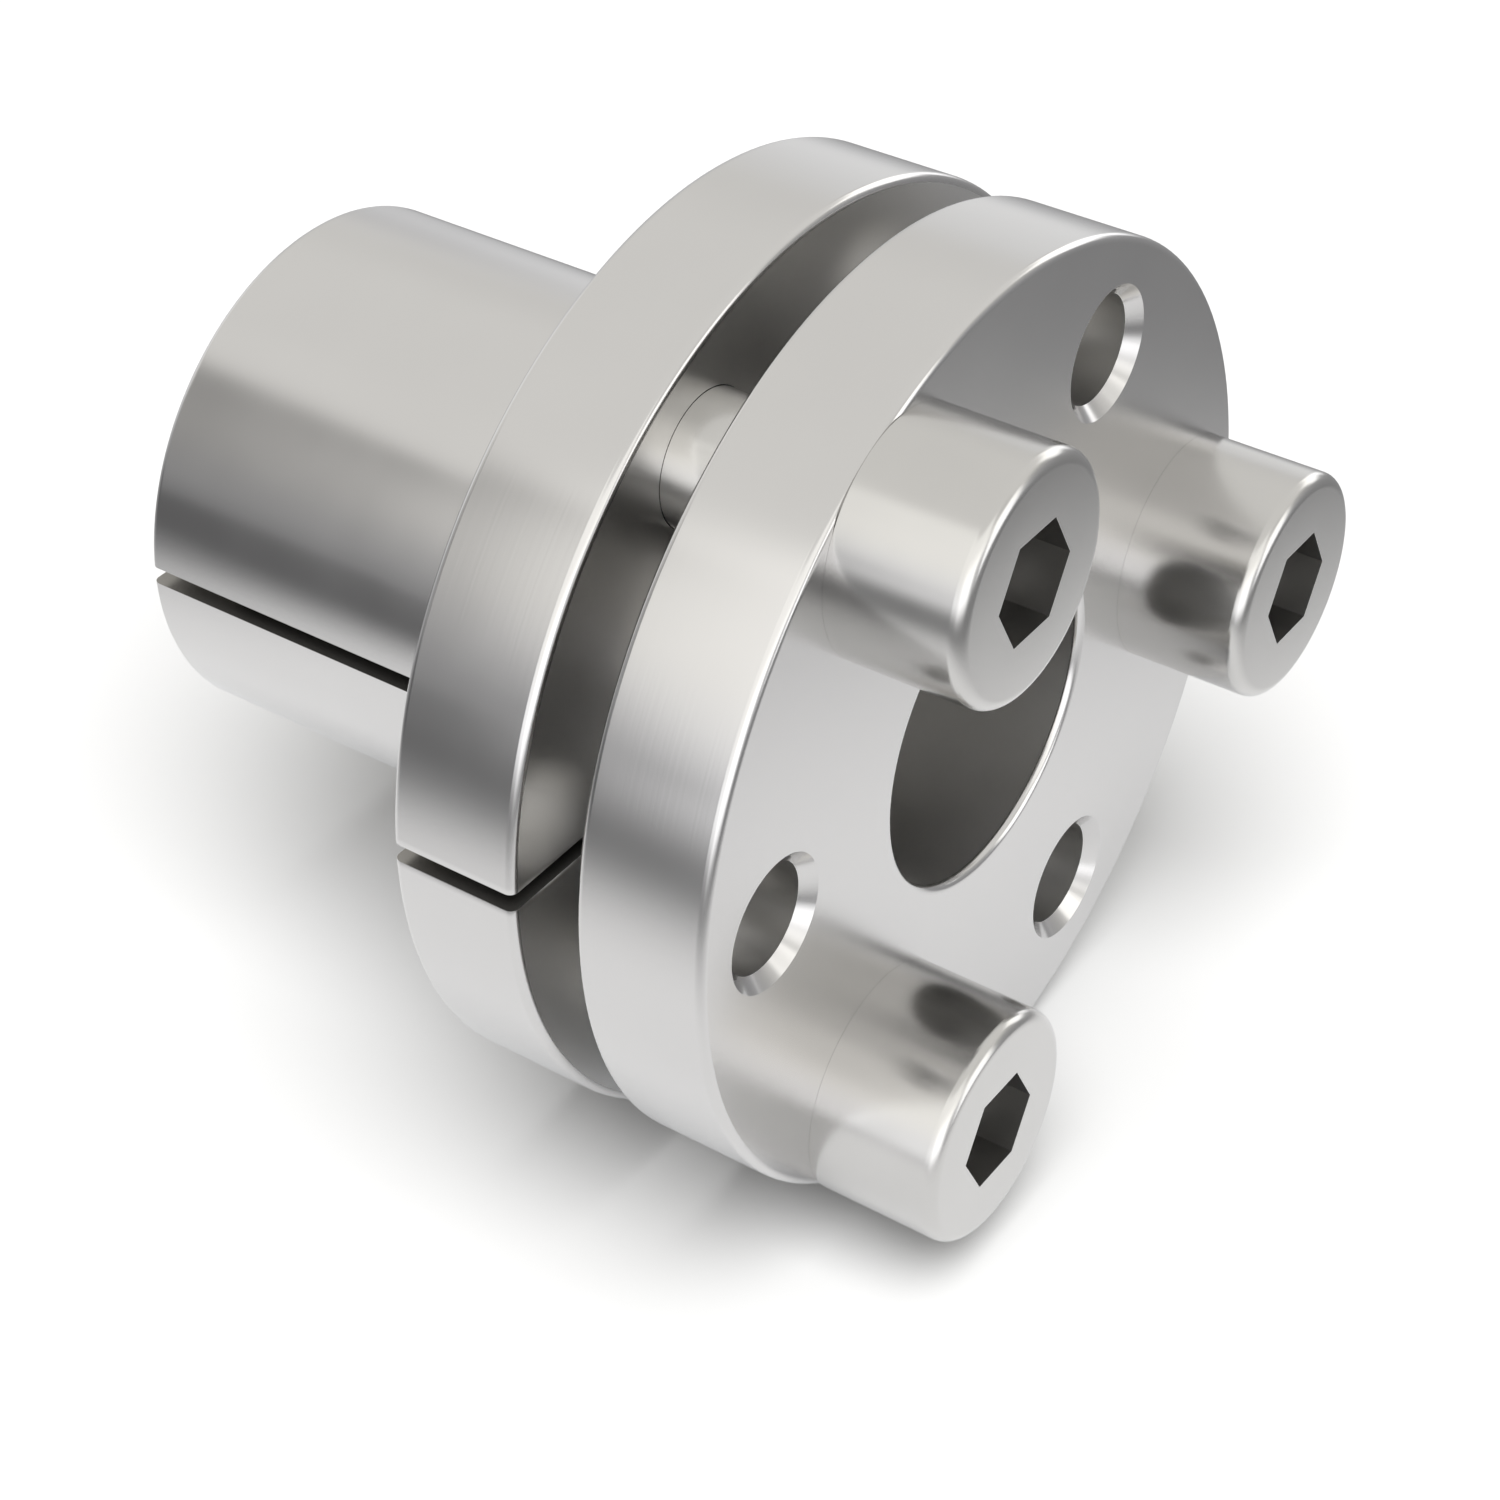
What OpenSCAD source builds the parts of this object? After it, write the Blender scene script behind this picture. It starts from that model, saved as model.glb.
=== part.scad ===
// Shaft locking assembly: a keyless cone clamp that joins a hub to a plain shaft.
// Cap screws draw a flanged, tapered inner ring into a flanged, slit outer ring.
// The inner ring shrinks on the shaft while the outer ring swells into the hub.
// +Z runs along the axis towards the screw heads; z = 0 is the sleeve's end face.

/* [Shaft and hub] */
// Diameter of the shaft that is clamped
shaft_d = 10; // [8:0.5:10.5]
// Diameter of the hub bore that the outer sleeve fills
hub_d = 16; // [15.5:0.5:17]
// Length of the outer sleeve behind the rear flange
sleeve_l = 14; // [8:0.5:30]

/* [Flanges] */
// Diameter of both flanges
flange_d = 28; // [27.5:0.5:40]
// Thickness of the front flange, on the inner ring
front_flange_t = 4; // [3:0.25:6]
// Thickness of the rear flange, on the outer ring
rear_flange_t = 4; // [3:0.25:6]
// Gap between the flanges before the screws are tightened
flange_gap = 2; // [1:0.25:4]
// Rounding of the turned outer edges and of the front bore edge
edge_r = 0.25; // [0.1:0.05:0.4]

/* [Cone] */
// Diameter of the cone at the front face of the rear flange
cone_d = 13.6; // [13.2:0.1:14]
// Half angle of the cone, in degrees
cone_half_angle = 3; // [2:0.25:4]
// Play between the two cones before tightening, on the radius
cone_play = 0.03; // [0.01:0.01:0.1]
// How far the inner sleeve stops short of the outer sleeve's end
inner_recess = 1; // [0.5:0.25:2]
// Bevel at the ends of the cones and at the rear of the bore
cone_bevel = 0.3; // [0.1:0.05:0.4]

/* [Slits] */
// Width of the single lengthwise slit in the outer ring
outer_slit_w = 0.55; // [0.3:0.05:1.5]
// Number of slots that make the inner sleeve springy
inner_slots = 3; // [2:1:6]
// Width of each slot in the inner sleeve
inner_slot_w = 0.8; // [0.4:0.1:1.5]
// Length left unslotted behind the front flange
inner_slot_land = 3; // [2:0.5:5]

/* [Screws] */
// Nominal thread diameter of the clamping screws
screw_d = 4; // [3.5:0.1:4.2]
// Distance of the screws and jack holes from the flanges' rim, to their axes
screw_inset = 3.325; // [2.8:0.025:3.5]
// Number of clamping screws, with one jack hole between each two
screw_count = 3; // [3:1:3]
// Diameter of the screw heads
head_d = 7; // [6:0.1:7.4]
// Height of the screw heads
head_h = 4; // [3.5:0.1:4.5]
// Rounding of the rim of the screw heads
head_edge_r = 0.4; // [0.2:0.05:0.6]
// Width across flats of the hexagon socket
socket_af = 3; // [2.5:0.1:3.2]
// Depth of the hexagon socket
socket_depth = 2.2; // [1.8:0.1:2.5]
// Bevel at the tip of the screws
tip_bevel = 0.5; // [0.3:0.05:0.7]
// Clearance round the screws in the front flange, on the radius
screw_clearance = 0.15; // [0.1:0.05:0.25]
// Clearance of the screw in the tapped holes, on the radius
thread_play = 0.02; // [0.01:0.01:0.1]

/* [Jack holes] */
// Core diameter of the tapped holes that jack the rings apart
jack_core_d = 3.24; // [2.8:0.02:3.4]
// Diameter of the countersink at the mouth of the jack holes
jack_mouth_d = 4; // [3.6:0.1:4.4]

/* [Hidden] */

$fn = 128;
// Overrun of a cut past the face it opens
over = 0.5;
// Tip angle of the drilled end of the socket, as its half angle
drill_half_angle = 60;

// Heights of the faces along the axis
rear_front_z = sleeve_l + rear_flange_t;
front_back_z = rear_front_z + flange_gap;
front_z = front_back_z + front_flange_t;

// Radii that both rings use
shaft_r = shaft_d / 2;
hub_r = hub_d / 2;
flange_r = flange_d / 2;
bolt_circle_r = flange_r - screw_inset;
cone_slope = tan(cone_half_angle);
function cone_r(z) = cone_d / 2 - (rear_front_z - z) * cone_slope;

// Directions: the slit faces -Y, with one screw opposite and a jack hole in line
slit_angle = -90;
screw_pitch = 360 / screw_count;
function screw_angle(i) = slit_angle + 180 + (i - 1) * screw_pitch;
function jack_angle(i) = slit_angle + (i - 1) * screw_pitch;

// The part of a square corner that a rounding takes off
// corner: the sharp corner; inward: signs of the directions into the metal
module rounding(corner, inward, radius) {
    translate(corner)
        mirror([inward.x < 0 ? 1 : 0, 0])
            mirror([0, inward.y < 0 ? 1 : 0])
                difference() {
                    translate([-over, -over]) square(radius + over);
                    translate([radius, radius]) circle(radius);
                }
}

// Puts a child on the bolt circle at an angle
module on_bolt_circle(angle) {
    rotate(angle) translate([bolt_circle_r, 0]) children();
}

// Half section of the outer ring: sleeve, rear flange and tapered bore
module outer_ring_section() {
    mouth_z = rear_front_z - cone_bevel;
    difference() {
        polygon([
            [cone_r(cone_bevel) + cone_play, cone_bevel],
            [cone_r(cone_bevel) + cone_play + cone_bevel, 0],
            [hub_r, 0],
            [hub_r, sleeve_l],
            [flange_r, sleeve_l],
            [flange_r, rear_front_z],
            [cone_r(mouth_z) + cone_play + cone_bevel, rear_front_z],
            [cone_r(mouth_z) + cone_play, mouth_z]
        ]);
        rounding([hub_r, 0], [-1, 1], edge_r);
        rounding([flange_r, sleeve_l], [-1, 1], edge_r);
        rounding([flange_r, rear_front_z], [-1, -1], edge_r);
    }
}

// Outer ring: one turned piece, slit along its whole length
module outer_ring() {
    color("#c9c8c4")
    difference() {
        rotate_extrude() outer_ring_section();
        translate([-outer_slit_w / 2, -flange_r - over, -over])
            cube([outer_slit_w, flange_r + over, rear_front_z + 2 * over]);
        for (i = [1 : screw_count])
            on_bolt_circle(screw_angle(i))
                translate([0, 0, sleeve_l - over])
                    cylinder(h = rear_flange_t + 2 * over, r = screw_d / 2 + thread_play);
    }
}

// Half section of the inner ring: front flange, bore and tapered sleeve
module inner_ring_section() {
    end_z = inner_recess;
    end_r = cone_r(end_z + cone_bevel);
    difference() {
        polygon([
            [shaft_r, end_z + cone_bevel],
            [shaft_r + cone_bevel, end_z],
            [end_r - cone_bevel, end_z],
            [end_r, end_z + cone_bevel],
            [cone_r(front_back_z), front_back_z],
            [flange_r, front_back_z],
            [flange_r, front_z],
            [shaft_r, front_z]
        ]);
        rounding([flange_r, front_back_z], [-1, 1], edge_r);
        rounding([flange_r, front_z], [-1, -1], edge_r);
        rounding([shaft_r, front_z], [1, -1], edge_r);
    }
}

// One slot of the inner sleeve, sawn in from its end
module inner_slot() {
    slot_end_z = front_back_z - inner_slot_land;
    translate([0, -inner_slot_w / 2, 0])
        cube([cone_d / 2 + over, inner_slot_w, slot_end_z - inner_slot_w / 2]);
    translate([0, 0, slot_end_z - inner_slot_w / 2])
        rotate([0, 90, 0]) cylinder(h = cone_d / 2 + over, d = inner_slot_w);
}

// Tapped jack hole with its countersunk mouth in the front face
module jack_hole() {
    mouth_depth = (jack_mouth_d - jack_core_d) / 2;
    translate([0, 0, front_back_z - over])
        cylinder(h = front_flange_t + 2 * over, d = jack_core_d);
    translate([0, 0, front_z - mouth_depth])
        cylinder(h = mouth_depth + over, d1 = jack_core_d, d2 = jack_mouth_d + 2 * over);
}

// Inner ring: one turned piece, its flange whole and its sleeve slotted
module inner_ring() {
    color("#d2d1ce")
    difference() {
        rotate_extrude() inner_ring_section();
        for (i = [1 : inner_slots])
            rotate(slit_angle + 180 + i * 360 / inner_slots) inner_slot();
        for (i = [1 : screw_count])
            on_bolt_circle(screw_angle(i))
                translate([0, 0, front_back_z - over])
                    cylinder(h = front_flange_t + 2 * over, r = screw_d / 2 + screw_clearance);
        for (i = [1 : screw_count])
            on_bolt_circle(jack_angle(i)) jack_hole();
    }
}

// Half section of a screw from its tip, flush with the rear flange's back face
module screw_section() {
    tip_z = sleeve_l;
    top_z = front_z + head_h;
    difference() {
        polygon([
            [0, tip_z],
            [screw_d / 2 - tip_bevel, tip_z],
            [screw_d / 2, tip_z + tip_bevel],
            [screw_d / 2, front_z],
            [head_d / 2, front_z],
            [head_d / 2, top_z],
            [0, top_z]
        ]);
        rounding([head_d / 2, top_z], [-1, -1], head_edge_r);
    }
}

// Hexagon socket, one corner pointing away from the ring's axis
module socket() {
    corner_r = socket_af / 2 / cos(30);
    floor_z = front_z + head_h - socket_depth;
    translate([0, 0, floor_z])
        cylinder(h = socket_depth + over, r = corner_r, $fn = 6);
    drill_depth = socket_af / 2 / tan(drill_half_angle);
    translate([0, 0, floor_z - drill_depth])
        cylinder(h = drill_depth, r1 = 0, r2 = socket_af / 2);
}

// Socket head cap screw number i, in its place
module cap_screw(i) {
    color("#bfbdb8")
    on_bolt_circle(screw_angle(i))
        difference() {
            rotate_extrude() screw_section();
            socket();
        }
}

module cap_screw_1() { cap_screw(1); }
module cap_screw_2() { cap_screw(2); }
module cap_screw_3() { cap_screw(3); }

outer_ring();
inner_ring();
cap_screw_1();
cap_screw_2();
cap_screw_3();
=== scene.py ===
import bmesh
import bpy
import math
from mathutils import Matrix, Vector


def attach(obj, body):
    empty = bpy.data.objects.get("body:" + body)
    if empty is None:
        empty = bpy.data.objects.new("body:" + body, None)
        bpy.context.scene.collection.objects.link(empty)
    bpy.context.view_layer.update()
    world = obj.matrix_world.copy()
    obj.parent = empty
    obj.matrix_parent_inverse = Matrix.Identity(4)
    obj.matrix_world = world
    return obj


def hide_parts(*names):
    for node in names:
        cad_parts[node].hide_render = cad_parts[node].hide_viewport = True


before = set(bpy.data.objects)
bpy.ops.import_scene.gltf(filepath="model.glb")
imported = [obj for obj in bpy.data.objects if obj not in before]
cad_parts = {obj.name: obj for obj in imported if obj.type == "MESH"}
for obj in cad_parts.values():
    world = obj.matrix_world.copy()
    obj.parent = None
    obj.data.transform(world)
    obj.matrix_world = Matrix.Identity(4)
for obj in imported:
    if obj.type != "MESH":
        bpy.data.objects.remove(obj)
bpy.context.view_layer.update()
mm = 0.001


def linearColour(hexColour):
    # sRGB hex value to linear red, green, blue and alpha
    channels = [int(hexColour[i:i + 2], 16) / 255 for i in (1, 3, 5)]
    return [c / 12.92 if c <= 0.04045 else ((c + 0.055) / 1.055) ** 2.4 for c in channels] + [1]


def addNode(tree, kind, settings=None, sockets=None):
    # settings are the node's own properties; sockets are values or links for its inputs,
    # by name or number, where a node stands for its first output. The colours of a Mix node
    # are its inputs 6 and 7 and its output 2.
    node = tree.nodes.new(kind)
    for name, value in (settings or {}).items():
        setattr(node, name, value)
    for name, value in (sockets or {}).items():
        if isinstance(value, bpy.types.Node):
            value = value.outputs[0]
        if isinstance(value, bpy.types.NodeSocket):
            tree.links.new(value, node.inputs[name])
        else:
            node.inputs[name].default_value = value
    return node


def pick(piece):
    # selects one object alone and makes it the active one
    bpy.ops.object.select_all(action="DESELECT")
    bpy.context.view_layer.objects.active = piece
    piece.select_set(True)


def moveMesh(piece, size=None, turn=None, offset=None):
    # sizes, turns (degrees, axis) and moves a mesh, while its object stays at the origin
    pick(piece)
    bpy.ops.object.mode_set(mode="EDIT")
    bpy.ops.mesh.select_all(action="SELECT")
    if size is not None:
        bpy.ops.transform.resize(value=size)
    if turn is not None:
        degrees, axis = turn
        # without a window the operator turns the other way
        bpy.ops.transform.rotate(value=-math.radians(degrees), orient_axis=axis,
                                 center_override=(0, 0, 0))
    if offset is not None:
        bpy.ops.transform.translate(value=offset)
    bpy.ops.object.mode_set(mode="OBJECT")


# Camera, solved from the photo's hexagon corners, rims and holes
cameraPlace = {
    "location": (-58.398, -68.272, 62.054),  # mm, in the part's frame
    "turn": (-35.755, -55.345, 90.464),  # degrees about X, Y and Z
    "lens": 83.826,
    "shift": (0.01329, -0.08224),
    "clip": (0.001, 10),  # m
}


def buildCamera():
    camera = bpy.data.cameras.new("camera")
    camera.lens = cameraPlace["lens"]
    camera.shift_x, camera.shift_y = cameraPlace["shift"]
    camera.clip_start, camera.clip_end = cameraPlace["clip"]
    cameraObject = bpy.data.objects.new("camera", camera)
    bpy.context.scene.collection.objects.link(cameraObject)
    cameraObject.location = Vector(cameraPlace["location"]) * mm
    cameraObject.rotation_euler = [math.radians(degrees) for degrees in cameraPlace["turn"]]
    bpy.context.scene.camera = cameraObject


buildCamera()
print("camera placed")

# Studio. In the photo the part lies on its flange rims, so the studio's up is -X of the part.
studio = {
    "up": (-1, 0, 0),
    "right": (0, 0.5755, 0.8178),  # to the right of the camera, level with the floor
    "away": (0, 0.8178, -0.5755),  # from the camera to the part, level with the floor
    # brightness of the room by elevation in degrees, from straight down to straight up
    "room": [(-90, 0.3), (-25, 0.3), (-8, 0.36), (5, 0.45),
             (20, 0.58), (32, 0.95), (44, 1.0), (90, 1.0)],
    # softboxes and flags, in degrees: azimuth from away towards right, elevation, half width,
    # half height, feather and lean to the right per degree of height, and then the brightness
    "softboxes": {
        "behind camera, low": (195, 12, 60, 20, 8, 0, 1.6),
        "behind camera, high": (197, 30, 62, 25, 2.5, 0, 1.5),
        "behind camera, middle": (172, 8, 28, 18, 12, 0, 2.1),
        "left flag": (-101.3, 21, 10.5, 21, 2.5, 0.41, 0.37),
        "left flag, low": (-101, -8, 17, 9.5, 4, 0, 0.15),
        "right": (110, 12, 17, 19, 2.5, 0, 2.05),
        "right flag, high": (120, 42, 16, 8, 5, 0, 0.85),
        "right flag, low": (140, 3, 7, 11, 4, 0, 0.8),
        "back": (-24, 20, 40, 32, 12, 0, 0.9),
        "back, high": (-24, 48, 40, 14, 10, 0, 0.98),
        "back, dimmer": (-12, -2, 13, 16, 6, 0, 0.7),
        "back left": (-48, 15, 17, 18, 8, 0, 1.1),
        "back right": (41, 19, 18, 12, 2, 0, 2.05),
        "back right, low": (25, 6, 8, 10, 5, 0, 1.9),
    },
    # the white backdrop, where the metal shows it too: the same values without the brightness
    "backdrop": (12, 8, 7, 14, 5, 0),
    # slightly cool light from low down, slightly warm light from above
    "coolTint": (1.0, 1.0, 1.015),
    "warmTint": (1.013, 1.0, 0.97),
    "tintRise": (4, 24),  # degrees of elevation, from the cool to the warm light
}


def boxMask(tree, azimuth, elevation, box):
    # 1 inside the box and 0 outside, with a soft edge
    middleAzimuth, middleElevation, halfWidth, halfHeight, feather, lean = box
    above = addNode(tree, "ShaderNodeMath", {"operation": "SUBTRACT"},
                    {0: elevation, 1: float(middleElevation)})
    level = addNode(tree, "ShaderNodeMath", {"operation": "SUBTRACT"},
                    {0: azimuth, 1: float(middleAzimuth)})
    aside = addNode(tree, "ShaderNodeMath", {"operation": "MULTIPLY_ADD"},
                    {0: above, 1: -float(lean), 2: level})
    wrapped = addNode(tree, "ShaderNodeMath", {"operation": "WRAP"},
                      {0: aside, 1: 180.0, 2: -180.0})
    masks = []
    for angle, half in ((wrapped, halfWidth), (above, halfHeight)):
        distance = addNode(tree, "ShaderNodeMath", {"operation": "ABSOLUTE"}, {0: angle})
        masks.append(addNode(tree, "ShaderNodeMapRange", {"interpolation_type": "SMOOTHSTEP"},
                             {"Value": distance, "From Min": half + feather,
                              "From Max": half - feather, "To Min": 0.0, "To Max": 1.0}))
    return addNode(tree, "ShaderNodeMath", {"operation": "MULTIPLY"},
                   {0: masks[0], 1: masks[1]}).outputs[0]


def roomLight(tree, elevation):
    # the room's brightness by elevation
    height = addNode(tree, "ShaderNodeMapRange",
                     sockets={"Value": elevation, "From Min": -90.0, "From Max": 90.0,
                              "To Min": 0.0, "To Max": 1.0})
    room = addNode(tree, "ShaderNodeValToRGB", sockets={"Fac": height})
    stops = room.color_ramp.elements
    while len(stops) < len(studio["room"]):
        stops.new(0.5)
    for stop, (degrees, level) in zip(stops, studio["room"]):
        stop.position = (degrees + 90) / 180
        stop.color = (level, level, level, 1)
    return room.outputs[0]


def studioLight(tree, azimuth, elevation):
    # the room with its softboxes and flags, cool low down and warm above
    light = roomLight(tree, elevation)
    for *box, level in studio["softboxes"].values():
        light = addNode(tree, "ShaderNodeMix", {"data_type": "RGBA"},
                        {"Factor": boxMask(tree, azimuth, elevation, box), 6: light,
                         7: (level, level, level, 1)}).outputs[2]
    low, high = studio["tintRise"]
    rise = addNode(tree, "ShaderNodeMapRange",
                   sockets={"Value": elevation, "From Min": float(low), "From Max": float(high),
                            "To Min": 0.0, "To Max": 1.0})
    tint = addNode(tree, "ShaderNodeMix", {"data_type": "RGBA"},
                   {"Factor": rise, 6: (*studio["coolTint"], 1),
                    7: (*studio["warmTint"], 1)}).outputs[2]
    return addNode(tree, "ShaderNodeMix", {"data_type": "RGBA", "blend_type": "MULTIPLY"},
                   {"Factor": 1.0, 6: light, 7: tint}).outputs[2]


def backdropMask(tree, azimuth, elevation):
    # 1 where the white backdrop shows: to the camera, through clear things
    # and in one patch of the room that the metal mirrors
    path = addNode(tree, "ShaderNodeLightPath").outputs
    straight = addNode(tree, "ShaderNodeMath", {"operation": "MAXIMUM"},
                       {0: path["Is Camera Ray"], 1: path["Is Transmission Ray"]})
    patch = boxMask(tree, azimuth, elevation, studio["backdrop"])
    mirrored = addNode(tree, "ShaderNodeMath", {"operation": "MULTIPLY"},
                       {0: path["Is Glossy Ray"], 1: patch})
    return addNode(tree, "ShaderNodeMath", {"operation": "MAXIMUM"},
                   {0: straight, 1: mirrored}).outputs[0]


def buildWorld():
    world = bpy.data.worlds.new("studio")
    bpy.context.scene.world = world
    world.use_nodes = True
    tree = world.node_tree
    tree.nodes.clear()
    direction = addNode(tree, "ShaderNodeTexCoord").outputs["Generated"]
    # how far the direction points along each of the studio's axes
    right, away, up = [addNode(tree, "ShaderNodeVectorMath", {"operation": "DOT_PRODUCT"},
                               {0: direction, 1: studio[axis]}).outputs["Value"]
                       for axis in ("right", "away", "up")]
    turn = addNode(tree, "ShaderNodeMath", {"operation": "ARCTAN2"}, {0: right, 1: away})
    azimuth = addNode(tree, "ShaderNodeMath", {"operation": "DEGREES"}, {0: turn})
    rise = addNode(tree, "ShaderNodeMath", {"operation": "ARCSINE"}, {0: up})
    elevation = addNode(tree, "ShaderNodeMath", {"operation": "DEGREES"}, {0: rise})
    shown = addNode(tree, "ShaderNodeMix", {"data_type": "RGBA"},
                    {"Factor": backdropMask(tree, azimuth, elevation),
                     6: studioLight(tree, azimuth, elevation), 7: (1, 1, 1, 1)})
    background = addNode(tree, "ShaderNodeBackground", sockets={"Color": shown.outputs[2]})
    addNode(tree, "ShaderNodeOutputWorld", sockets={"Surface": background.outputs[0]})


buildWorld()
print("world built")

# Pale disc under the part. The metal sees a painted pool of light on it that fades outwards.
floorDisc = {
    "x": 14.02,  # mm, just clear of both flange rims
    "middle": (-3, 14),  # y and z, mm
    "radius": 200,  # mm
    "white": 0.32,  # what of the light on it comes back
    "glossyWhite": 0.28,  # the same for reflections
    "paintedGlossyGlow": (0.165, 0.17, 0.18),  # painted glow that reflections show of it besides
    "litRadius": 20,  # mm, as far as reflections show it fully lit
    "darkRadius": 57,  # mm, beyond which they show the room
    "steps": 128,  # corners of the disc
}


def paleCard(centre):
    # matt card, seen from above only; reflections show it with a painted glow and a painted fade
    # outwards
    material = bpy.data.materials.new("pale card")
    material.use_nodes = True
    tree = material.node_tree
    tree.nodes.clear()
    place = addNode(tree, "ShaderNodeTexCoord").outputs["Object"]
    offset = addNode(tree, "ShaderNodeVectorMath", {"operation": "DISTANCE"}, {0: place, 1: centre})
    fade = addNode(tree, "ShaderNodeMapRange", {"interpolation_type": "SMOOTHSTEP"},
                   {"Value": offset.outputs["Value"], "From Min": floorDisc["litRadius"] * mm,
                    "From Max": floorDisc["darkRadius"] * mm, "To Min": 0.0, "To Max": 1.0})
    isGlossy = addNode(tree, "ShaderNodeLightPath").outputs["Is Glossy Ray"]
    faded = addNode(tree, "ShaderNodeMath", {"operation": "MULTIPLY"},
                    {0: fade, 1: isGlossy})
    backfacing = addNode(tree, "ShaderNodeNewGeometry").outputs["Backfacing"]
    unseen = addNode(tree, "ShaderNodeMath", {"operation": "MAXIMUM"},
                     {0: faded, 1: backfacing})
    diffuse, dim = [addNode(tree, "ShaderNodeBsdfDiffuse", sockets={"Color": (white, white, white, 1)})
                    for white in (floorDisc["white"], floorDisc["glossyWhite"])]
    glow = addNode(tree, "ShaderNodeEmission", sockets={"Color": (*floorDisc["paintedGlossyGlow"], 1)})
    reflected = addNode(tree, "ShaderNodeAddShader", sockets={0: dim, 1: glow})
    seen = addNode(tree, "ShaderNodeMixShader", sockets={0: isGlossy, 1: diffuse, 2: reflected})
    clear = addNode(tree, "ShaderNodeBsdfTransparent")
    mixed = addNode(tree, "ShaderNodeMixShader", sockets={0: unseen, 1: seen, 2: clear})
    addNode(tree, "ShaderNodeOutputMaterial", sockets={"Surface": mixed})
    return material


def buildFloor():
    centre = Vector((floorDisc["x"], *floorDisc["middle"])) * mm
    bpy.ops.mesh.primitive_circle_add(vertices=floorDisc["steps"], radius=floorDisc["radius"] * mm,
                                      fill_type="NGON")
    floor = bpy.context.object
    floor.name = "floor"
    moveMesh(floor, turn=(-90, "Y"), offset=centre)
    floor.data.materials.append(paleCard(centre))


buildFloor()
print("floor built")

# Broad light from above the camera, which gives the floor its soft shadow
keyLight = {
    "azimuth": 178,  # from away towards right
    "elevation": 62,
    "angle": 48,  # degrees across
    "strength": 8.4,
}


def buildLamp():
    up, right, away = (Vector(studio[axis]) for axis in ("up", "right", "away"))
    azimuth, elevation = math.radians(keyLight["azimuth"]), math.radians(keyLight["elevation"])
    level = away * math.cos(azimuth) + right * math.sin(azimuth)
    towards = up * math.sin(elevation) + level * math.cos(elevation)
    light = bpy.data.lights.new("key", "SUN")
    light.angle = math.radians(keyLight["angle"])
    light.energy = keyLight["strength"]
    lamp = bpy.data.objects.new("key", light)
    bpy.context.scene.collection.objects.link(lamp)
    lamp.rotation_euler = towards.to_track_quat("Z", "Y").to_euler()
    lamp.visible_glossy = False


buildLamp()
print("lamp placed")

# Sizes that the pieces share, in mm, as in part.scad
unit = {
    "shaftR": 5,
    "hubR": 8,
    "flangeR": 14,
    "sleeveL": 14,
    "rearFrontZ": 18,
    "frontBackZ": 20,
    "frontZ": 24,
    "edgeR": 0.25,
    "coneR": 6.8,  # at the front face of the rear flange
    "coneHalfAngle": 3,
    "coneBevel": 0.3,
    "boltCircleR": 10.675,
    "slitAngle": -90,
    "screwCount": 3,
}
# How the meshes are made
modelling = {
    "over": 0.5,  # mm, overrun of a cut past the face it opens
    "turnSteps": 180,  # facets round a turned surface
    "holeSteps": 96,  # the same for a hole
    "edgeFacets": 6,  # facets of a rounded edge
    "outlineMerge": 0.001,  # mm, vertices of an outline closer than this are merged
    "spinMerge": 0.0005,  # mm, the same for a turned surface
    "vertexReach": 0.002,  # mm, a vertex this close to a corner or a wall is on it
    "faceReach": 0.01,  # mm, the same for the centre of a face
    "flatNormal": 0.99,  # a face whose normal has this much of Z lies across the axis
    "wallNormal": 0.9,  # a face whose normal has this much of X can be a wall of the slit
    "smoothAngle": 28,  # degrees, edges sharper than this stay sharp
    "areaWeight": 100,  # how far large faces set the normals of their edges
}


def coneRadius(z):
    return unit["coneR"] - (unit["rearFrontZ"] - z) * math.tan(math.radians(unit["coneHalfAngle"]))


def boltPlace(degrees):
    angle = math.radians(degrees)
    return Vector((math.cos(angle), math.sin(angle))) * unit["boltCircleR"]


screwPitch = 360 / unit["screwCount"]
screwAngles = [unit["slitAngle"] + 180 + screwPitch * i for i in range(unit["screwCount"])]
jackAngles = [unit["slitAngle"] + screwPitch * i for i in range(unit["screwCount"])]


def selectVertices(piece, chosen):
    # selects the vertices whose place in mm passes the test
    mesh = bmesh.from_edit_mesh(piece.data)
    mesh.select_mode = {"VERT"}
    for element in (*mesh.faces, *mesh.edges, *mesh.verts):
        element.select = False
    for vertex in mesh.verts:
        vertex.select = chosen(vertex.co / mm)
    mesh.select_flush(True)
    bmesh.update_edit_mesh(piece.data)


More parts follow.
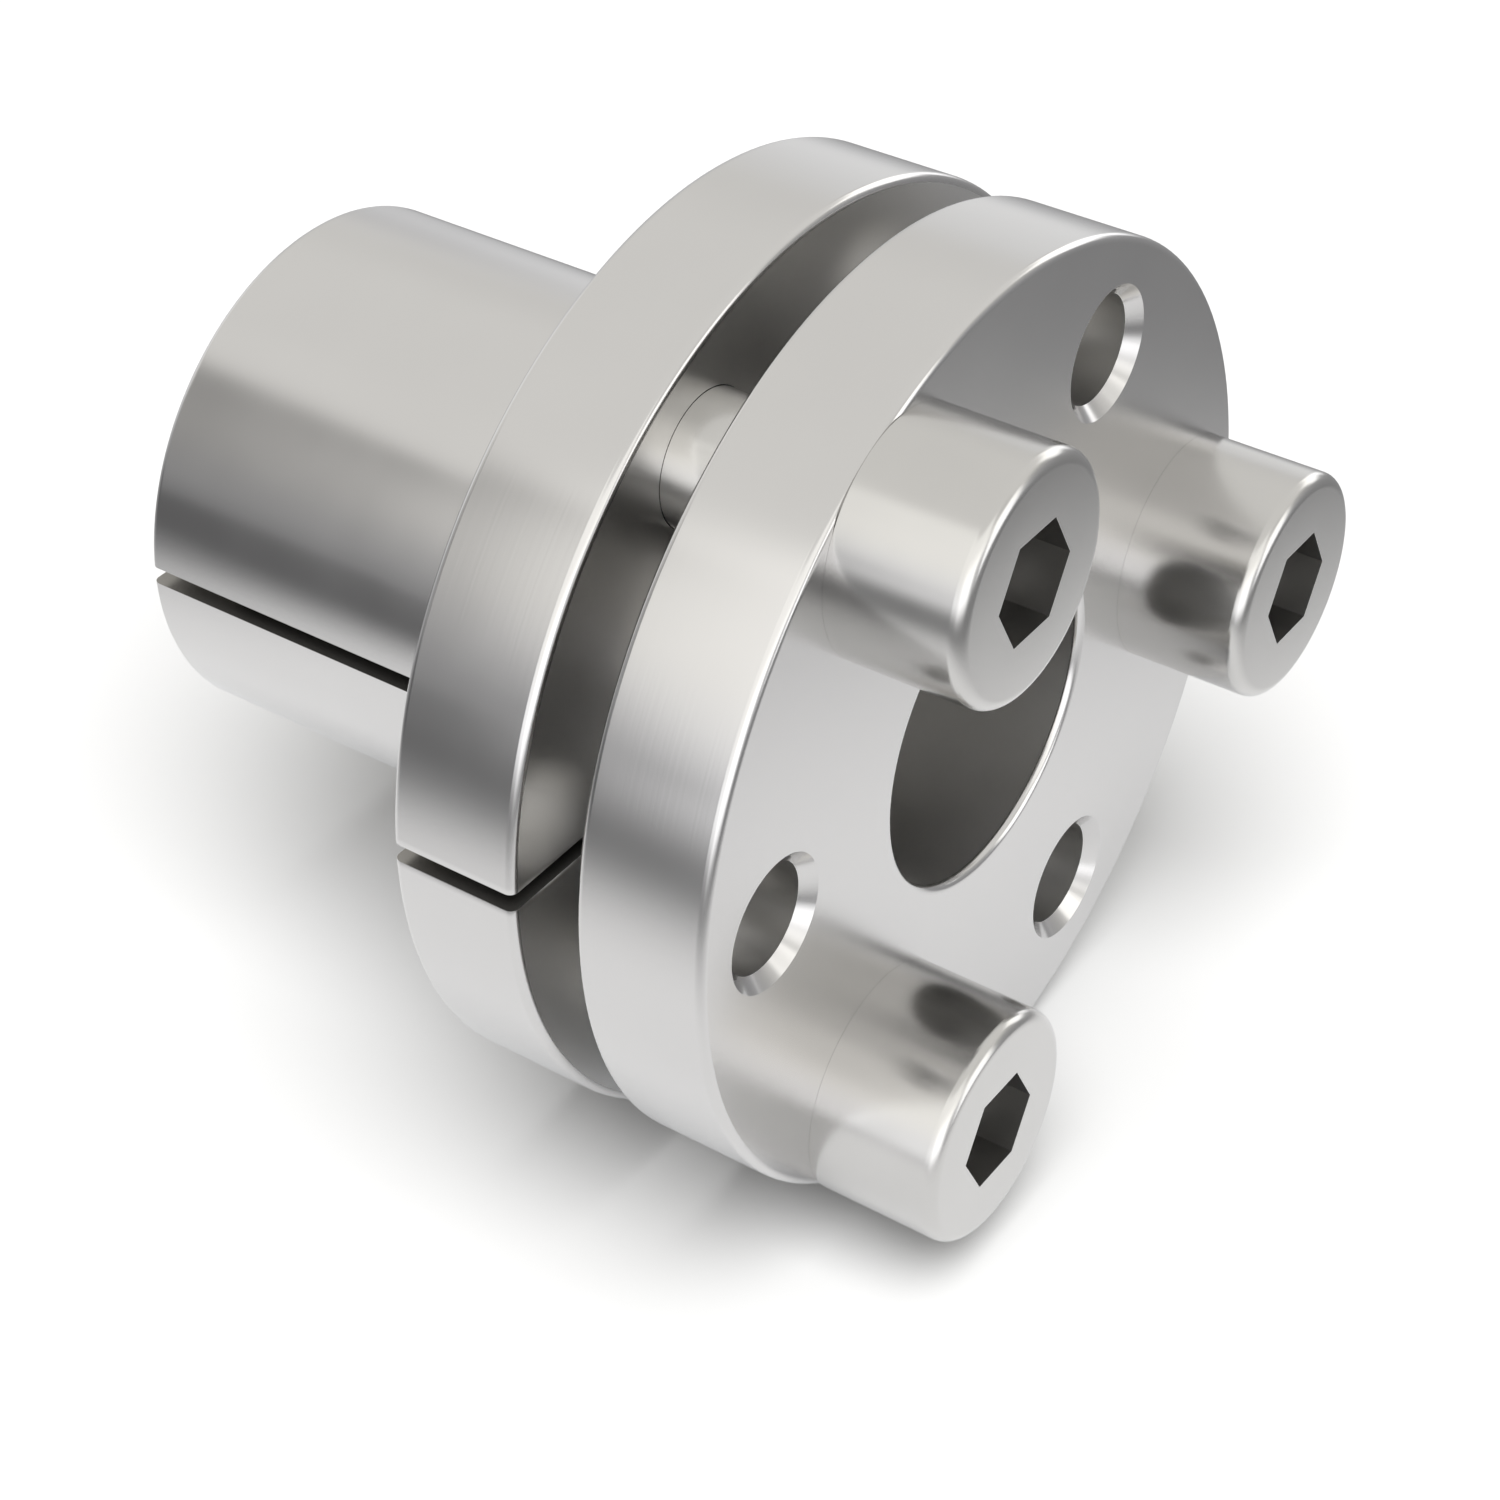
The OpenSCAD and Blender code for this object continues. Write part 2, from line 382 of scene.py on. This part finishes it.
def turnedPiece(name, outline, steps, axis=(0, 0)):
    # outline: corners in mm, (radius, height), or (radius, height, rounding, facets) where one is
    # rounded; it is spun about an upright axis at (x, y)
    centre = Vector((*axis, 0)) * mm
    bpy.ops.object.select_all(action="DESELECT")
    bpy.ops.mesh.primitive_plane_add(size=mm)
    piece = bpy.context.object
    piece.name = name
    piece.data.name = name
    places = [centre + Vector((radius, 0, height)) * mm for radius, height, *rounding in outline]
    bpy.ops.object.mode_set(mode="EDIT")
    bpy.ops.mesh.select_mode(type="VERT")
    bpy.ops.mesh.select_all(action="SELECT")
    bpy.ops.mesh.merge(type="CENTER")
    bpy.ops.transform.translate(value=places[0])
    for here, there in zip(places, places[1:] + places[:1]):
        bpy.ops.mesh.extrude_region_move(TRANSFORM_OT_translate={"value": there - here})
    bpy.ops.mesh.select_all(action="SELECT")
    bpy.ops.mesh.remove_doubles(threshold=modelling["outlineMerge"] * mm)
    for (radius, height, *rounding), place in zip(outline, places):
        if rounding:
            offset, facets = rounding
            selectVertices(piece, lambda co: (co - place / mm).length < modelling["vertexReach"])
            bpy.ops.mesh.bevel(affect="VERTICES", offset=offset * mm, segments=facets)
    bpy.ops.mesh.select_all(action="SELECT")
    bpy.ops.mesh.spin(steps=steps, angle=math.radians(360), center=centre, axis=(0, 0, 1))
    bpy.ops.mesh.select_all(action="SELECT")
    bpy.ops.mesh.remove_doubles(threshold=modelling["spinMerge"] * mm)
    bpy.ops.mesh.normals_make_consistent(inside=False)
    bpy.ops.object.mode_set(mode="OBJECT")
    return piece


def boxCutter(low, high):
    # a block from corner low to corner high, in mm
    low, high = Vector(low) * mm, Vector(high) * mm
    bpy.ops.mesh.primitive_cube_add(size=1)
    cutter = bpy.context.object
    moveMesh(cutter, size=high - low, offset=(low + high) / 2)
    return cutter


def rodCutter(low, high, radius, steps):
    # a round rod along X from the point low to the point high, in mm
    low, high = Vector(low) * mm, Vector(high) * mm
    bpy.ops.mesh.primitive_cylinder_add(vertices=steps, radius=radius * mm, depth=high.x - low.x)
    cutter = bpy.context.object
    moveMesh(cutter, turn=(-90, "Y"), offset=(low + high) / 2)
    return cutter


def holeCutter(degrees, wall):
    # a round hole on the bolt circle; wall: its corners (radius, height) in mm, from below upwards
    low, high = wall[0][1], wall[-1][1]
    outline = [(0, low), *wall, (0, high)]
    return turnedPiece("hole", outline, modelling["holeSteps"], boltPlace(degrees))


def cutAway(piece, cutter):
    pick(piece)
    bpy.ops.object.modifier_add(type="BOOLEAN")
    modifier = piece.modifiers[-1]
    modifier.operation = "DIFFERENCE"
    modifier.solver = "EXACT"
    modifier.object = cutter
    bpy.ops.object.modifier_apply(modifier=modifier.name)
    bpy.data.objects.remove(cutter)


def finishMesh(piece, nodeName, material, others):
    # others: a further material and the test of the faces that have it, for each
    pick(piece)
    bpy.ops.object.shade_smooth_by_angle(angle=math.radians(modelling["smoothAngle"]))
    bpy.ops.object.modifier_add(type="WEIGHTED_NORMAL")
    modifier = piece.modifiers[-1]
    modifier.keep_sharp = True
    modifier.weight = modelling["areaWeight"]
    bpy.ops.object.modifier_apply(modifier=modifier.name)
    piece.data.materials.clear()
    piece.data.materials.append(material)
    for number, (other, isChosen) in enumerate(others):
        piece.data.materials.append(other)
        for face in piece.data.polygons:
            if isChosen(face):
                face.material_index = number + 1
    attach(piece, "root")
    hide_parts(nodeName)
    print(nodeName, "built,", len(piece.data.polygons), "faces")


# Stainless steel in its finishes; the hollows' colour carries painted light, the slit's and sockets'
# colour painted shade.
# Lengths are in mm: marks is from one tool mark or grain to the
# next, markDepth is how deep they are, and patch is the size of the patches of uneven sheen.
finishes = {
    # sleeves and rims, turned on a lathe: faint rings round the axis
    "turned": {
        "light": "#cbcac9",
        "dark": "#c7c6c5",
        "metallic": 1,
        "roughness": (0.165, 0.195),
        "rings": True,
        "marks": 0.12,
        "markDepth": 0.0002,
        "patch": 4,
    },
    # flat faces, turned with a quicker feed: a little blurrier
    "faced": {
        "light": "#cbcac9",
        "dark": "#c7c6c5",
        "metallic": 1,
        "roughness": (0.225, 0.255),
        "rings": True,
        "marks": 0.12,
        "markDepth": 0.0002,
        "patch": 4,
    },
    # the bore, the jack holes and the gap between the flanges: rougher, and a lighter colour that
    # paints brighter light into these hollows
    "bored-painted-light": {
        "light": "#dddcda",
        "dark": "#d8d7d5",
        "metallic": 1,
        "roughness": (0.285, 0.32),
        "rings": True,
        "marks": 0.15,
        "markDepth": 0.0003,
        "patch": 3,
    },
    # the slit's walls, cut by a wire: a little rougher, and a darker colour that paints shade into the
    # narrow slit
    "wire-cut-painted-shade": {
        "light": "#8a8884",
        "dark": "#84827e",
        "metallic": 0.95,
        "roughness": (0.22, 0.26),
        "rings": False,
        "marks": 0.1,
        "markDepth": 0.0005,
        "patch": 2,
    },
    # the screws, cold-headed and tumbled smooth
    "tumbled": {
        "light": "#c6c5c3",
        "dark": "#c1c0be",
        "metallic": 1,
        "roughness": (0.2, 0.24),
        "rings": False,
        "marks": 0.25,
        "markDepth": 0.00015,
        "patch": 2,
    },
    # the sockets, press-formed in the screw heads: rougher, and a darker colour that paints shade into
    # these hollows
    "pressed-painted-shade": {
        "light": "#a9a8a6",
        "dark": "#a4a3a1",
        "metallic": 1,
        "roughness": (0.285, 0.32),
        "rings": False,
        "marks": 0.2,
        "markDepth": 0.0002,
        "patch": 1,
    },
}


def ringPlace(tree, place):
    # the distance from the axis and the height, on which tool marks round the axis depend
    parts = addNode(tree, "ShaderNodeSeparateXYZ", sockets={"Vector": place})
    flat = addNode(tree, "ShaderNodeCombineXYZ",
                   sockets={"X": parts.outputs["X"], "Y": parts.outputs["Y"]})
    radius = addNode(tree, "ShaderNodeVectorMath", {"operation": "LENGTH"}, {0: flat})
    return addNode(tree, "ShaderNodeCombineXYZ",
                   sockets={"X": radius.outputs["Value"], "Y": parts.outputs["Z"]}).outputs[0]


def stainlessSteel(finish):
    look = finishes[finish]
    material = bpy.data.materials.new(finish + " stainless steel")
    material.use_nodes = True
    tree = material.node_tree
    shader = tree.nodes["Principled BSDF"]
    shader.inputs["Metallic"].default_value = look["metallic"]
    place = addNode(tree, "ShaderNodeTexCoord").outputs["Object"]
    patches = addNode(tree, "ShaderNodeTexNoise",
                      sockets={"Vector": place, "Scale": 1 / (look["patch"] * mm),
                               "Detail": 2.0}).outputs["Fac"]
    colour = addNode(tree, "ShaderNodeMix", {"data_type": "RGBA"},
                     {"Factor": patches, 6: linearColour(look["dark"]), 7: linearColour(look["light"])})
    smooth, rough = look["roughness"]
    sheen = addNode(tree, "ShaderNodeMapRange",
                    sockets={"Value": patches, "From Min": 0.3, "From Max": 0.7,
                             "To Min": smooth, "To Max": rough})
    pattern, dimensions = (ringPlace(tree, place), "2D") if look["rings"] else (place, "3D")
    marks = addNode(tree, "ShaderNodeTexNoise", {"noise_dimensions": dimensions},
                    {"Vector": pattern, "Scale": 1 / (look["marks"] * mm), "Detail": 1.0})
    bump = addNode(tree, "ShaderNodeBump",
                   sockets={"Strength": 1.0, "Distance": look["markDepth"] * mm,
                            "Height": marks.outputs["Fac"]})
    tree.links.new(colour.outputs[2], shader.inputs["Base Color"])
    tree.links.new(sheen.outputs[0], shader.inputs["Roughness"])
    tree.links.new(bump.outputs[0], shader.inputs["Normal"])
    return material


steel = {finish: stainlessSteel(finish) for finish in finishes}


def inFlat(face):
    # flat faces across the axis
    return abs(face.normal.z) > modelling["flatNormal"]


def inRing(face):
    # faces of the rings in the gap between the flanges, in the bore and in the jack holes, which get
    # the lighter steel with painted light
    near = modelling["faceReach"]
    place = face.center / mm
    radius = place.xy.length
    across = min((place.xy - boltPlace(angle)).length for angle in jackAngles)
    inJackHole = place.z > unit["frontBackZ"] + near and across < innerRing["jackCoreR"] + near
    inGap = (unit["rearFrontZ"] - near < place.z < unit["frontBackZ"] + near
             and radius < unit["flangeR"] - unit["edgeR"])
    inBore = radius < unit["shaftR"] + near and place.z < unit["frontZ"] - unit["edgeR"]
    return inJackHole or inGap or inBore


outerRing = {
    "conePlay": 0.03,
    "slitW": 0.55,
    "slitBreak": 0.05,  # broken edge along the slit
    "slitBreakFacets": 2,
    "holeR": 2.02,
    "holeBevel": 0.2,
}


def inSlit(face):
    # the two walls of the outer ring's slit, which get the darker steel with painted shade
    place = face.center / mm
    onWall = abs(abs(place.x) - outerRing["slitW"] / 2) < modelling["faceReach"]
    return place.y < 0 and onWall and abs(face.normal.x) > modelling["wallNormal"]


def buildOuterRing():
    ring = outerRing
    over = modelling["over"]
    edge = (unit["edgeR"], modelling["edgeFacets"])
    bevel = unit["coneBevel"]
    rear, front, flange, hub = unit["sleeveL"], unit["rearFrontZ"], unit["flangeR"], unit["hubR"]
    mouth = front - bevel
    lowR = coneRadius(bevel) + ring["conePlay"]
    mouthR = coneRadius(mouth) + ring["conePlay"]
    piece = turnedPiece("outerRing", [
        (lowR, bevel),
        (lowR + bevel, 0),
        (hub, 0, *edge),
        (hub, rear),
        (flange, rear, *edge),
        (flange, front, *edge),
        (mouthR + bevel, front),
        (mouthR, mouth),
    ], modelling["turnSteps"])
    for angle in screwAngles:
        cutAway(piece, holeCutter(angle, [
            (ring["holeR"] + ring["holeBevel"] + over, rear - over),
            (ring["holeR"], rear + ring["holeBevel"]),
            (ring["holeR"], front + over),
        ]))
    half = ring["slitW"] / 2
    cutAway(piece, boxCutter((-half, -flange - over, -over), (half, 0, front + over)))
    bpy.ops.object.mode_set(mode="EDIT")
    selectVertices(piece, lambda co: co.y < 0 and abs(abs(co.x) - half) < modelling["vertexReach"])
    bpy.ops.mesh.bevel(affect="EDGES", offset=ring["slitBreak"] * mm, segments=ring["slitBreakFacets"],
                       clamp_overlap=True)
    bpy.ops.object.mode_set(mode="OBJECT")
    finishMesh(piece, "outer_ring", steel["turned"],
               [(steel["faced"], inFlat), (steel["bored-painted-light"], inRing), (steel["wire-cut-painted-shade"], inSlit)])


innerRing = {
    "recess": 1,
    "slots": 3,
    "slotW": 0.8,
    "slotLand": 3,
    "slotReach": 8,  # how far out from the axis a slot's cutter goes
    "slotSteps": 32,  # facets round a slot's end
    "screwHoleR": 2.15,
    "jackCoreR": 1.62,
    "jackMouthR": 2,
}


def buildInnerRing():
    ring = innerRing
    over = modelling["over"]
    edge = (unit["edgeR"], modelling["edgeFacets"])
    bevel = unit["coneBevel"]
    back, front, flange, shaft = unit["frontBackZ"], unit["frontZ"], unit["flangeR"], unit["shaftR"]
    end = ring["recess"]
    endR = coneRadius(end + bevel)
    piece = turnedPiece("innerRing", [
        (shaft, end + bevel),
        (shaft + bevel, end),
        (endR - bevel, end),
        (endR, end + bevel),
        (coneRadius(back), back),
        (flange, back, *edge),
        (flange, front, *edge),
        (shaft, front, *edge),
    ], modelling["turnSteps"])
    half, reach = ring["slotW"] / 2, ring["slotReach"]
    slotEnd = back - ring["slotLand"] - half
    for i in range(ring["slots"]):
        angle = unit["slitAngle"] + 180 + (i + 1) * 360 / ring["slots"]
        for cutter in (boxCutter((0, -half, 0), (reach, half, slotEnd)),
                       rodCutter((0, 0, slotEnd), (reach, 0, slotEnd), half, ring["slotSteps"])):
            moveMesh(cutter, turn=(angle, "Z"))
            cutAway(piece, cutter)
    for angle in screwAngles:
        cutAway(piece, holeCutter(angle, [
            (ring["screwHoleR"], back - over),
            (ring["screwHoleR"], front + over),
        ]))
    countersink = ring["jackMouthR"] - ring["jackCoreR"]
    for angle in jackAngles:
        cutAway(piece, holeCutter(angle, [
            (ring["jackCoreR"], back - over),
            (ring["jackCoreR"], front - countersink),
            (ring["jackMouthR"] + over, front + over),
        ]))
    finishMesh(piece, "inner_ring", steel["turned"],
               [(steel["faced"], inFlat), (steel["bored-painted-light"], inRing)])


buildOuterRing()
buildInnerRing()

capScrew = {
    "shankR": 2,
    "tipBevel": 0.5,
    "headR": 3.5,
    "headH": 4,
    "headEdgeR": 0.4,
    "headEdgeFacets": 10,
    "seatBreak": 0.004,  # broken edge under the head, for a fine contact line
    "socketSides": 6,
    "socketAcrossFlats": 3,
    "socketDepth": 2.2,
    "drillR": 1.48,  # drilled end of the socket
    "drillHalfAngle": 60,
    "steps": 128,
}


def inSocket(face):
    # faces of a screw's socket, below the top of its head, which get the darker steel with painted
    # shade
    near = modelling["faceReach"]
    place = face.center / mm
    across = min((place.xy - boltPlace(angle)).length for angle in screwAngles)
    inHead = unit["frontZ"] + near < place.z < unit["frontZ"] + capScrew["headH"] - near
    return inHead and across < capScrew["socketAcrossFlats"] / 2 + near


def turnedScrew():
    screw = capScrew
    tip, seat = unit["sleeveL"], unit["frontZ"]
    top = seat + screw["headH"]
    return turnedPiece("capScrew", [
        (0, tip),
        (screw["shankR"] - screw["tipBevel"], tip),
        (screw["shankR"], tip + screw["tipBevel"]),
        (screw["shankR"], seat),
        (screw["headR"], seat, screw["seatBreak"], 1),
        (screw["headR"], top, screw["headEdgeR"], screw["headEdgeFacets"]),
        (0, top),
    ], screw["steps"], boltPlace(0))


def socketCutter():
    # hexagon with one corner pointing away from the part's axis
    screw = capScrew
    mouth = unit["frontZ"] + screw["headH"] + modelling["over"]
    depth = screw["socketDepth"] + modelling["over"]
    halfCorner = 180 / screw["socketSides"]
    cornerR = screw["socketAcrossFlats"] / 2 / math.cos(math.radians(halfCorner))
    bpy.ops.mesh.primitive_circle_add(vertices=screw["socketSides"], radius=cornerR * mm,
                                      fill_type="NGON")
    cutter = bpy.context.object
    moveMesh(cutter, turn=(-halfCorner, "Z"), offset=Vector((*boltPlace(0), mouth)) * mm)
    bpy.ops.object.mode_set(mode="EDIT")
    bpy.ops.mesh.extrude_region_move(TRANSFORM_OT_translate={"value": (0, 0, -depth * mm)})
    bpy.ops.mesh.select_all(action="SELECT")
    bpy.ops.mesh.normals_make_consistent(inside=False)
    bpy.ops.object.mode_set(mode="OBJECT")
    return cutter


def drillCutter():
    # the cone that a drill leaves at the end of the socket, closed by a flat cone above it
    screw = capScrew
    floorZ = unit["frontZ"] + screw["headH"] - screw["socketDepth"]
    depth = screw["drillR"] / math.tan(math.radians(screw["drillHalfAngle"]))
    return turnedPiece("drill", [
        (0, floorZ - depth),
        (screw["drillR"], floorZ),
        (0, floorZ + depth),
    ], screw["steps"], boltPlace(0))


def buildCapScrews():
    first = turnedScrew()
    cutAway(first, socketCutter())
    cutAway(first, drillCutter())
    for number, angle in enumerate(screwAngles):
        pick(first)
        bpy.ops.object.duplicate(linked=False)
        piece = bpy.context.object
        piece.name = "capScrew" + str(number + 1)
        moveMesh(piece, turn=(angle, "Z"))
        finishMesh(piece, "cap_screw_" + str(number + 1), steel["tumbled"],
                   [(steel["pressed-painted-shade"], inSocket)])
    bpy.data.objects.remove(first)


buildCapScrews()

bpy.context.scene.view_settings.view_transform = "Standard"
